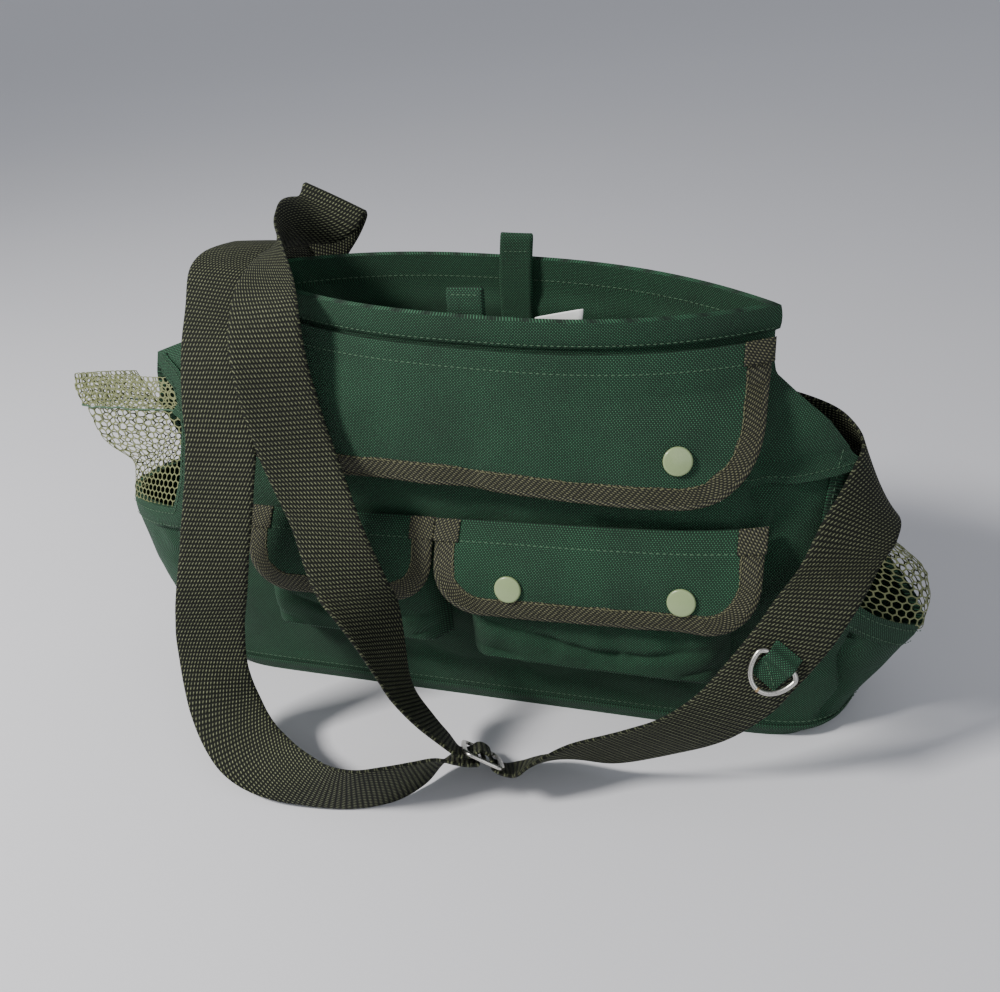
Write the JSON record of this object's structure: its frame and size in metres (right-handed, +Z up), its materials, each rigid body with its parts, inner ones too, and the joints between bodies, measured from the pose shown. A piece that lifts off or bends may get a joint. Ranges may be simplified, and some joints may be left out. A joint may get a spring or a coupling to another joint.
{
  "type": "fishing creel bag",
  "caption": "Dark green canvas creel bag with an open mouth, bound snap flaps, bellows pockets, net side windows and a woven shoulder strap with slider and ring.",
  "frame": {"origin": "on the floor under the middle of the flat base", "axes": "+X to the bag's right as seen from the front, +Y from the front panel to the back panel, +Z up"},
  "size_m": [0.5152, 0.2358, 0.2936],
  "materials": {
    "cloth": "woven canvas, dark green, matt with a faint sheen",
    "webbing": "coarse woven webbing, dark olive with pale specks",
    "binding": "folded herringbone tape, olive brown",
    "net": "soft knotted net, pale olive",
    "snap": "enamelled snap caps, sage green, glossy",
    "metal": "nickel plated wire and plate",
    "label": "blank white woven label"
  },
  "bodies": {
    "root": {"body_shell": "cloth", "side_mesh_right": "net", "side_mesh_left": "net", "main_flap": "cloth", "main_flap_binding": "binding", "small_pocket": "cloth", "small_pocket_flap": "cloth", "small_flap_binding": "binding", "large_pocket": "cloth", "large_pocket_flap": "cloth", "large_flap_binding": "binding", "main_snap_right": "snap", "main_snap_left": "snap", "small_pocket_snap": "snap", "large_pocket_snap_left": "snap", "large_pocket_snap_right": "snap", "strap_right_leg": "webbing", "strap_front_leg": "webbing", "strap_left_leg": "webbing", "front_tab": "cloth", "back_tab": "cloth", "inner_label": "label", "strap_slider": "metal", "d_ring_tab": "cloth", "left_ring": "metal", "left_ring_tab": "cloth"},
    "ring": {"d_ring": "metal"}
  },
  "joints": [
    {"name": "d_ring_lift", "type": "hinge", "parent": "root", "child": "ring", "pos_m": [0.1672, -0.0953, 0.0919], "axis": [-0.8106, 0.2001, 0.5504], "range_deg": [0, 110]}
  ]
}
